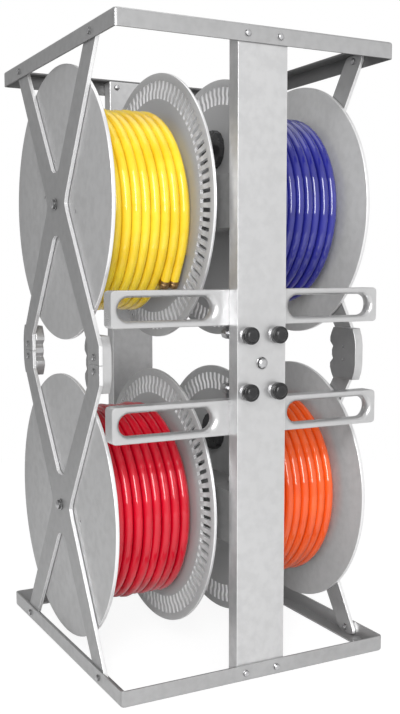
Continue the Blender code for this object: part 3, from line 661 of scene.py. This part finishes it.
camera_data = bpy.data.cameras.new("camera")
camera = bpy.data.objects.new("camera", camera_data)
bpy.context.scene.collection.objects.link(camera)
camera_data.sensor_width = 36.0
camera_data.lens = 36.0 * FOCAL_PIXELS / PICTURE_HEIGHT
camera_data.shift_y = (LENS_CENTRE - PICTURE_HEIGHT / 2) / PICTURE_HEIGHT
camera_data.clip_start = 0.05
forward = Vector((-math.sin(CAMERA_TURN) * math.cos(CAMERA_DROP),
                  math.cos(CAMERA_TURN) * math.cos(CAMERA_DROP), -math.sin(CAMERA_DROP)))
camera.matrix_world = (Matrix.Translation(CAMERA_AT)
                       @ forward.to_track_quat("-Z", "Y").to_matrix().to_4x4()
                       @ Matrix.Rotation(CAMERA_ROLL, 4, "Z"))
bpy.context.scene.camera = camera

# ---------------------------------------------------------------- frame pieces
# The top ring's inward and downward faces take the darker copy: painted shade.
for ring_name, edge_height in (("top_ring", HEIGHT), ("bottom_ring", 0.0)):
    edged(ring_name, 0.8, ring_metal, bend=(edge_height, 4 * MM),
          second=(painted_shade_bar_metal, inside_bar) if ring_name == "top_ring" else None)
# Upright corners take the near-white copy of the metal: painted highlight.
for end in ENDS:
    edged(end + "_upright", 1.7, bar_metal, second=(painted_highlight_edge_metal, corner))
# X frame plate edges take the near-white copy of the metal: painted highlight.
for level in LEVELS:
    edged("axle_beam_" + level, 1.0, beam_metal)
    edged("drag_block_" + level, 0.8, black_plastic)
    for side in SIDES:
        edged("x_frame_%s_%s" % (level, side), 0.7, plate_metal,
              second=(painted_highlight_edge_metal, across))
for side in SIDES:
    for end in ENDS:
        # Splice plate edges take the lighter guide metal: painted highlight.
        edged("splice_plate_%s_%s" % (end, side), 1.2, grip_metal, segments=3,
              second=(guide_metal, across))


def stadium(x0, x1, half, steps):
    """A slot outline with round ends."""
    points = []
    for cx, start in ((x1 - half, -90), (x0 + half, 90)):
        points += arc((cx, 0.0), half, start, start + 180, steps)
    return points


def guide(name, sx):
    """Hose guide with a smooth bell mouth all round its slot."""
    low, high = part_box(name)
    zc = (low.z + high.z) / 2
    hz = (high.z - low.z) / 2 / MM
    inner = min(abs(low.x), abs(high.x)) / MM
    outer = max(abs(low.x), abs(high.x)) / MM
    depth = (high.y - low.y) / MM
    c = GUIDE_CORNER
    outline = [(inner, -hz)] + arc((outer - c, -hz + c), c, -90, 0, 6)
    outline += arc((outer - c, hz - c), c, 0, 90, 6) + [(inner, hz)]
    d = GUIDE_FLARE_DEPTH
    bm = bmesh.new()

    def row(points, t):
        return [bm.verts.new((sx * x * MM, low.y + t * MM, zc + z * MM)) for x, z in points]

    def band(one, two):
        for i in range(len(one)):
            j = (i + 1) % len(one)
            bm.faces.new((one[i], one[j], two[j], two[i]))

    angles = [math.pi / 2 * i / 8 for i in range(9)]
    bands = [(d * (1 - math.cos(a)), 1 - math.sin(a)) for a in angles]
    bands += [(depth - d * math.cos(a), 0.7 * (1 - math.cos(a))) for a in angles[1:]]
    half = GUIDE_SLOT_HEIGHT / 2
    slots = [row(stadium(GUIDE_SLOT_IN - e * GUIDE_FLARE_IN, GUIDE_SLOT_OUT + e * GUIDE_FLARE_OUT,
                         half + e * GUIDE_FLARE, 20), t) for t, e in bands]
    edge = GUIDE_EDGE

    def inset(points, by):
        zmax = hz - by
        return [(min(max(x, inner + by), outer - by), min(max(z, -zmax), zmax))
                for x, z in points]

    outers = [row(inset(outline, edge), 0.0), row(outline, edge), row(outline, depth - edge),
              row(inset(outline, edge), depth)]
    for rows in (slots, outers):
        for one, two in zip(rows, rows[1:]):
            band(one, two)
    for outer_row, slot_row in ((outers[0], slots[0]), (outers[-1], slots[-1])):
        edges = []
        for loop in (outer_row, slot_row):
            for i in range(len(loop)):
                edges.append(bm.edges.get((loop[i], loop[(i + 1) % len(loop)])))
        bmesh.ops.triangle_fill(bm, use_beauty=True, edges=edges)
    return show(name + ".smooth", bm, guide_metal, "frame", (name,), smooth=40)


for level in LEVELS:
    for side, sx in SIDES.items():
        guide("hose_guide_%s_%s" % (level, side), sx)

# ---------------------------------------------------------------- reels
def outer_flange(colour):
    """Plain disc with a rounded rim; the rim gets a painted highlight and the outward face
    painted shade.
    """
    name = colour + "_outer_flange"
    low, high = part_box(name)
    sx = REEL_SIDE[colour]
    radius = (high.z - low.z) / 2 / MM
    near = (low.x if sx > 0 else -high.x) / MM
    far = (high.x if sx > 0 else -low.x) / MM
    e = DISC_EDGE
    profile = [(near, FLANGE_BORE)]
    profile += arc((near + e, radius - e), e, 180, 90, 4)
    profile += arc((far - e, radius - e), e, 90, 0, 4)
    profile += [(far, FLANGE_BORE), (near, FLANGE_BORE)]
    place = aim((0, SHIFT_Y, (low.z + high.z) / 2), (sx, 0, 0))
    bm = lathe(profile, 160, place)
    disc = show(name + ".round", bm, hub_metal[REEL_LEVEL[colour]], colour + "_reel", (name,),
                smooth=35, second=(painted_highlight_edge_metal, across))
    # Faces looking away from the rack take the darker copy: painted shade.
    disc.data.materials.append(painted_shade_disc_metal[REEL_LEVEL[colour]])
    for face in disc.data.polygons:
        if face.normal.x * sx > 0.8:
            face.material_index = 2


def slotted_flange(colour):
    """Disc whose slotted band steps a little towards the rack's middle."""
    name = colour + "_slotted_flange"
    low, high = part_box(name)
    sx = REEL_SIDE[colour]
    radius = (high.z - low.z) / 2 / MM
    near = min(abs(low.x), abs(high.x)) / MM
    far = near + (high.x - low.x) / MM
    centre = Vector((0, SHIFT_Y, (low.z + high.z) / 2))
    turn = FULL / SLOT_COUNT
    middle = (SLOT_INNER + SLOT_OUTER) / 2
    bend = [(middle + BAND_BEND * t, LAND_STEP * (0.5 + 0.5 * math.sin(t * math.pi / 2)))
            for t in (-1.0, -0.5, 0.0, 0.5, 1.0)]
    flat = [(r, 0.0) for r in (FLANGE_BORE, 60.0, 120.0, 160.0, SLOT_INNER - 1.2, SLOT_INNER)]
    flat += bend + [(r, LAND_STEP) for r in (SLOT_OUTER, SLOT_OUTER + 1.2, radius - 1.0)]
    hose_side = [(r, far - d) for r, d in flat]
    hose_side += [(radius - 0.3, far - LAND_STEP - 0.3), (radius, far - LAND_STEP - 1.0)]
    rack_side = [(r, near - d) for r, d in flat]
    rack_side += [(radius - 0.3, near - LAND_STEP + 0.3), (radius, near - LAND_STEP + 1.0)]
    reach = [r for r, _ in flat]
    first = reach.index(SLOT_INNER)
    last = reach.index(SLOT_OUTER)
    n = 3 * SLOT_COUNT
    bm = bmesh.new()
    sheets = []
    for rows in (hose_side, rack_side):
        sheet = []
        for r, u in rows:
            half = math.asin(SLOT_WIDTH / 2 / min(max(r, SLOT_INNER), SLOT_OUTER))
            row = []
            for i in range(SLOT_COUNT):
                for angle in (i * turn - half, i * turn + half, (i + 0.5) * turn):
                    row.append(bm.verts.new((sx * u * MM, centre.y + r * math.sin(angle) * MM,
                                             centre.z - r * math.cos(angle) * MM)))
            sheet.append(row)
        for k, (one, two) in enumerate(zip(sheet, sheet[1:])):
            for i in range(n):
                if i % 3 == 0 and first <= k < last:
                    continue
                j = (i + 1) % n
                bm.faces.new((one[i], one[j], two[j], two[i]))
        sheets.append(sheet)
    one, two = sheets
    for a, b in ((one[0], two[0]), (one[-1], two[-1])):
        for i in range(n):
            j = (i + 1) % n
            bm.faces.new((a[i], a[j], b[j], b[i]))
    for i in range(0, n, 3):
        loop = [(k, i) for k in range(first, last + 1)]
        loop += [(k, i + 1) for k in range(last, first - 1, -1)]
        for (ka, ia), (kb, ib) in zip(loop, loop[1:] + loop[:1]):
            bm.faces.new((one[ka][ia], one[kb][ib], two[kb][ib], two[ka][ia]))
    # Slot walls and the rim take the near-white copy of the metal: painted highlight.
    show(name + ".pressed", bm, hub_metal[REEL_LEVEL[colour]], colour + "_reel", (name,),
         smooth=30, second=(painted_highlight_edge_metal, across))


def wander(angle, seed):
    """A slow wave between -1 and 1 that differs from strand to strand."""
    return (math.sin(0.37 * angle + 1.7 * seed) + 0.6 * math.sin(0.83 * angle + 2.9 * seed)
            + 0.4 * math.sin(1.61 * angle + 0.7 * seed)) / 2


def coil(colour, start_at, pitch, turns, radius, tail, seed):
    """A strand's centre line in metres: a helix, with a straight tail if asked."""
    sx = REEL_SIDE[colour]
    centre = centre_of(colour + "_outer_flange")
    points = []

    def spot(a, r, u):
        return Vector((sx * u * MM, SHIFT_Y - r * math.cos(a) * MM,
                       centre.z - (r * math.sin(a) + SAG[colour]) * MM))

    total = int(turns * LOOP_STEPS)
    begin = math.radians(TAIL_ANGLE[colour])
    for i in range(total + 1):
        turned = FULL * i / LOOP_STEPS
        a = begin - turned
        ease = min(1.0, i / LOOP_STEPS, (total - i) / LOOP_STEPS)
        sway = 0.30 * math.sin(2 * a + 0.6) + 0.20 * math.sin(3 * a)
        r = radius + HOSE_LIFT + HOSE_WANDER * ease * wander(turned, seed)
        points.append(spot(a, r, start_at + pitch * i / LOOP_STEPS + sway * ease))
    if tail:
        run = Vector((0, math.sin(begin), -math.cos(begin)))
        if colour == "yellow":
            tail -= TAIL_CUT
        points = [points[0] + run * tail * MM * f for f in (1.0, 0.8, 0.6, 0.4, 0.2)] + points
    return points


def ferrule(name, end, along):
    """Crimped metal sleeve on a hose's free end."""
    profile = [(-5.0, HOSE_RADIUS + 0.1), (-5.0, 8.3), (-4.2, 8.7), (-3.0, 8.7), (-2.4, 8.1),
               (-0.6, 8.1), (0.0, 8.6), (1.4, 8.6), (2.0, 8.1), (6.4, 8.0), (7.6, 7.2),
               (7.6, 4.2), (2.0, 4.0), (2.0, 0.0)]
    show(name + ".crimped", lathe(profile, 32, aim(end, along)), brass_metal, "yellow_reel",
         (name,), smooth=35)


def hose(colour, number, first, pitch, turns, replaced):
    """One hose's outer turns and the layer of turns under them."""
    seed = COLOURS.index(colour) * 3 + number
    body = colour + "_reel"
    outer = coil(colour, first, pitch, turns, COIL_RADIUS, HOSE_TAIL, seed)
    if colour == "yellow":
        ferrule("yellow_ferrule_" + "ab"[number], outer[0], outer[0] - outer[1])
    show("%s_hose_outer_%d" % (colour, number), tube(outer, HOSE_RADIUS * MM), hose_look[colour],
         body, replaced, smooth=60)
    inner = coil(colour, first - HOSE_PITCH / 2, pitch,
                 turns + INNER_EXTRA * HOSE_PITCH / pitch * 2, COIL_RADIUS - LAYER_DROP, 0,
                 seed + 1.5)
    show("%s_hose_inner_%d" % (colour, number), tube(inner, HOSE_RADIUS * MM),
         hose_look[colour], body, (), smooth=60)


def hose_pack(colour):
    """The deeper turns of a hose, as one ribbed form round the drum."""
    name = colour + "_hose_core"
    low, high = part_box(name)
    sx = REEL_SIDE[colour]
    near = min(abs(low.x), abs(high.x)) / MM
    far = max(abs(low.x), abs(high.x)) / MM
    crest = COIL_RADIUS - 2 * LAYER_DROP + HOSE_RADIUS
    profile = [(near, PACK_INSIDE), (near, crest - 10)]
    count = int((far - near) / HOSE_PITCH)
    step = (far - near) / count
    for k in range(count):
        middle = near + step * (k + 0.5)
        profile += arc((middle, crest - step / 2), step / 2, 172, 8, 8)
    profile += [(far, crest - 10), (far, PACK_INSIDE), (near, PACK_INSIDE)]
    axle_z = centre_of(colour + "_outer_flange").z
    bm = lathe(profile, 96, aim((0, SHIFT_Y, axle_z), (sx, 0, 0)))
    for v in bm.verts:
        if math.hypot(v.co.y - SHIFT_Y, v.co.z - axle_z) > (PACK_INSIDE + 10) * MM:
            v.co.z -= SAG[colour] * MM
    show(colour + "_hose_deep", bm, hose_look[colour], colour + "_reel", (name,),
         smooth=50)


for colour in COLOURS:
    outer_flange(colour)
    slotted_flange(colour)
    hose_pack(colour)
    if colour == "yellow":
        for k in (0, 1):
            hose(colour, k, HOSE_START + k * HOSE_PITCH, 2 * HOSE_PITCH, (HOSE_TURNS - 1) / 2,
                 ("yellow_hose_turns_" + "ab"[k],))
    else:
        hose(colour, 0, HOSE_START, HOSE_PITCH, HOSE_TURNS, (colour + "_hose_turns",))

# ---------------------------------------------------------------- knobs and bolts
def knob(colour):
    """Black knob with a rounded shoulder and a raised face, on a bright collar."""
    name = colour + "_lock_knob"
    low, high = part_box(name)
    centre = (low + high) / 2
    r = (high.z - low.z) / 2 / MM
    length = (high.y - low.y) / MM
    base = Vector((centre.x, high.y, centre.z))
    wide = KNOB_SPREAD * r
    profile = [(3.6, 0.0), (3.6, 0.86 * wide), (4.6, 0.97 * wide), (5.4, wide)]
    profile += arc((length - 3.4 - CAP_SHOULDER, wide - CAP_SHOULDER), CAP_SHOULDER, 90, 10, 5)
    profile += [(length - 3.5, 0.78 * wide), (length - 3.1, 0.755 * wide),
                (length - 1.2, 0.62 * wide), (length - 0.5, 0.52 * wide),
                (length - 0.15, 0.32 * wide), (length, 0.0)]
    place = aim(base, (0, -1, 0))
    show(name + ".cap", lathe(profile, 40, place), black_plastic, colour + "_lock", (name,),
         smooth=40)
    collar = [(0.0, 0.0), (0.0, 0.84 * r), (0.4, 0.90 * r), (2.6, 0.90 * r),
              (3.4, 0.84 * r), (4.0, 0.70 * r), (4.0, 0.0)]
    show(name + ".collar", lathe(collar, 40, place), bright_metal, colour + "_lock", (),
         smooth=40)


for colour in COLOURS:
    knob(colour)

for level in LEVELS:
    dress("axle_" + level, bright_metal)
for colour in COLOURS:
    dress(colour + "_lock_rod", bright_metal)
    dress(colour + "_drum", hub_metal[REEL_LEVEL[colour]])


def domed_nut(name, sx):
    """Domed cap nut with a flat collar and a dark painted reflection round its dome."""
    low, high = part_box(name)
    centre = (low + high) / 2
    r = (high.z - low.z) / 2 / MM
    length = (high.x - low.x) / MM
    base = Vector((low.x if sx > 0 else high.x, centre.y, centre.z))
    profile = [(0.0, 0.0), (0.0, r), (1.4, r), (1.9, 0.86 * r), (3.0, 0.84 * r)]
    profile += [(3.0 + (length - 3.0) * math.sin(math.radians(a)),
                 0.84 * r * math.cos(math.radians(a))) for a in range(10, 91, 10)]
    profile[-1] = (length, 0.0)
    bm = lathe(profile, 36, aim(base, (sx, 0, 0)))
    show(name + ".dome", bm, bright_metal, "frame", (name,), smooth=40,
         second=(painted_reflection_rim_metal, steep((sx, 0, 0))))


for level in LEVELS:
    for side, sx in SIDES.items():
        domed_nut("axle_nut_%s_%s" % (level, side), sx)

low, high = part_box("centre_bolt")
bolt_at = Vector(((low.x + high.x) / 2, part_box("front_upright")[0].y, (low.z + high.z) / 2))
bolt_head = lathe(dome(BOLT_RADIUS, BOLT_HEIGHT, 1.4), 36, aim(bolt_at, (0, -1, 0)))
# The steep rim of the bolt's dome is painted dark: painted reflection.
show("centre_bolt.head", bolt_head, bright_metal, "frame", ("centre_bolt",), smooth=35,
     second=(painted_reflection_rim_metal, steep((0, -1, 0))))

ring_low, ring_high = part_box("top_ring")
rear_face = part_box("rear_upright")[0].y
for z, tag in RING_SCREW_HEIGHTS:
    for side, sx in SIDES.items():
        x = sx * RING_SCREW_SIDE * MM
        for end, y in (("front", ring_low.y), ("rear", rear_face)):
            screw("screw_%s_%s_%s" % (end, tag, side), (x, y, z * MM), (0, -1, 0), SCREW_RADIUS,
                  "frame")
    for side, sx in SIDES.items():
        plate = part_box("x_frame_upper_" + side)
        inside = max(abs(plate[0].x), abs(plate[1].x)) - FRAME_THICK * MM
        for end, sy in ENDS.items():
            y = sy * ARM_SCREW_AT * MM + SHIFT_Y
            for kind, x, way in (("screw", ring_high.x, sx), ("nut", inside, -sx)):
                screw("%s_arm_%s_%s_%s" % (kind, tag, side, end), (sx * x, y, z * MM),
                      (way, 0, 0), SCREW_RADIUS, "frame")

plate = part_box("x_frame_upper_left")
plate_out = max(abs(plate[0].x), abs(plate[1].x))
for side, sx in SIDES.items():
    for end, sy in ENDS.items():
        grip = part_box("splice_plate_%s_%s" % (end, side))
        grip_in = min(abs(grip[0].x), abs(grip[1].x))
        for z, level in SPLICE_SCREW_HEIGHTS:
            screw("screw_splice_%s_%s_%s" % (side, end, level),
                  (sx * plate_out, sy * SPLICE_SCREW_AT * MM + SHIFT_Y, z * MM), (sx, 0, 0),
                  SCREW_RADIUS, "frame")
            screw("screw_grip_%s_%s_%s" % (side, end, level),
                  (sx * grip_in, (sy * SPLICE_SCREW_AT - sx * GRIP_SCREW_SHIFT) * MM + SHIFT_Y,
                   z * MM), (-sx, 0, 0), GRIP_SCREW_RADIUS, "frame")

for colour in COLOURS:
    sx = REEL_SIDE[colour]
    low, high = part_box(colour + "_outer_flange")
    face = max(abs(low.x), abs(high.x))
    zc = (low.z + high.z) / 2
    for k in range(DISC_SCREWS):
        a = math.radians(12 + 360 / DISC_SCREWS * k)
        screw("screw_%s_flange_%d" % (colour, k),
              (sx * (face - 0.4 * MM), SHIFT_Y + DISC_SCREW_RING * math.cos(a) * MM,
               zc + DISC_SCREW_RING * math.sin(a) * MM), (sx, 0, 0), DISC_SCREW_RADIUS,
              colour + "_reel", height=0.4)

# ---------------------------------------------------------------- studio
FLOOR_GLOW = 1.12           # the floor's own light in the picture
FLOOR_LIFT = 0.80           # how far that light takes the floor's shading away
BRIGHT_SIDE = (0.46, -0.88, 0.12)
WALLS = ((0.0, 0.36), (0.45, 0.32), (0.72, 0.46), (0.90, 0.78), (1.0, 0.82))


def studio_floor(name, size):
    """The pale floor the rack stands on, with only a faint shadow."""
    bm = bmesh.new()
    bmesh.ops.create_circle(bm, cap_ends=True, segments=96, radius=size)
    mesh = bpy.data.meshes.new(name)
    bm.to_mesh(mesh)
    bm.free()
    obj = bpy.data.objects.new(name, mesh)
    bpy.context.scene.collection.objects.link(obj)
    obj.location.z = -0.0005
    mat, tree, shader, place = new_material(name)
    patch = use(tree, CLOUDS, Vector=place, Scale=1.5).outputs[0]
    tree.links.new(blend_colours(tree, patch, (0.92, 0.92, 0.92), (0.90, 0.90, 0.90)),
                   shader.inputs["Base Color"])
    shader.inputs["Roughness"].default_value = 0.95
    shader.inputs["Specular IOR Level"].default_value = 0.1
    glow = tree.nodes.new("ShaderNodeEmission")
    glow.inputs["Strength"].default_value = FLOOR_GLOW
    both = tree.nodes.new("ShaderNodeMixShader")
    seen = tree.nodes.new("ShaderNodeLightPath").outputs["Is Camera Ray"]
    tree.links.new(math_node(tree, "MULTIPLY", seen, FLOOR_LIFT), both.inputs["Fac"])
    tree.links.new(shader.outputs["BSDF"], both.inputs[1])
    tree.links.new(glow.outputs["Emission"], both.inputs[2])
    tree.links.new(both.outputs["Shader"], tree.nodes["Material Output"].inputs["Surface"])
    mesh.materials.append(mat)
    obj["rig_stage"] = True


studio_floor("studio_floor", 1.6)


def soft_light(name, place, target, size, power):
    """A rectangular soft box aimed at a point."""
    data = bpy.data.lights.new(name, "AREA")
    data.shape = "RECTANGLE"
    data.size, data.size_y = size
    data.energy = power
    obj = bpy.data.objects.new(name, data)
    bpy.context.scene.collection.objects.link(obj)
    obj.location = place
    obj.rotation_euler = (Vector(target) - Vector(place)).to_track_quat("-Z", "Y").to_euler()


soft_light("front box", (-1.30, -2.30, 1.45), (0, 0, 0.45), (0.9, 1.9), 62)
soft_light("top", (0.0, 0.3, 2.8), (0, 0, 0.3), (2.0, 2.0), 14)


def studio_walls():
    """A white background whose walls are brighter on one side for what they light."""
    world = bpy.data.worlds.new("studio")
    bpy.context.scene.world = world
    world.use_nodes = True
    tree = world.node_tree
    background = tree.nodes["Background"]
    direction = tree.nodes.new("ShaderNodeTexCoord").outputs["Generated"]
    towards = node(tree, "ShaderNodeVectorMath", operation="DOT_PRODUCT")
    towards.inputs[1].default_value = Vector(BRIGHT_SIDE).normalized()
    tree.links.new(direction, towards.inputs[0])
    lift = between(tree, towards.outputs["Value"], 0.0, 1.0)
    lift.node.inputs["From Min"].default_value = -1.0
    glow = ramp(tree, lift, WALLS)
    seen = tree.nodes.new("ShaderNodeLightPath").outputs["Is Camera Ray"]
    tree.links.new(blend_colours(tree, seen, glow, (1.0, 1.0, 1.0)), background.inputs["Color"])
    background.inputs["Strength"].default_value = 1.0


studio_walls()
bpy.context.scene.view_settings.view_transform = "Standard"

low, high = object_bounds()
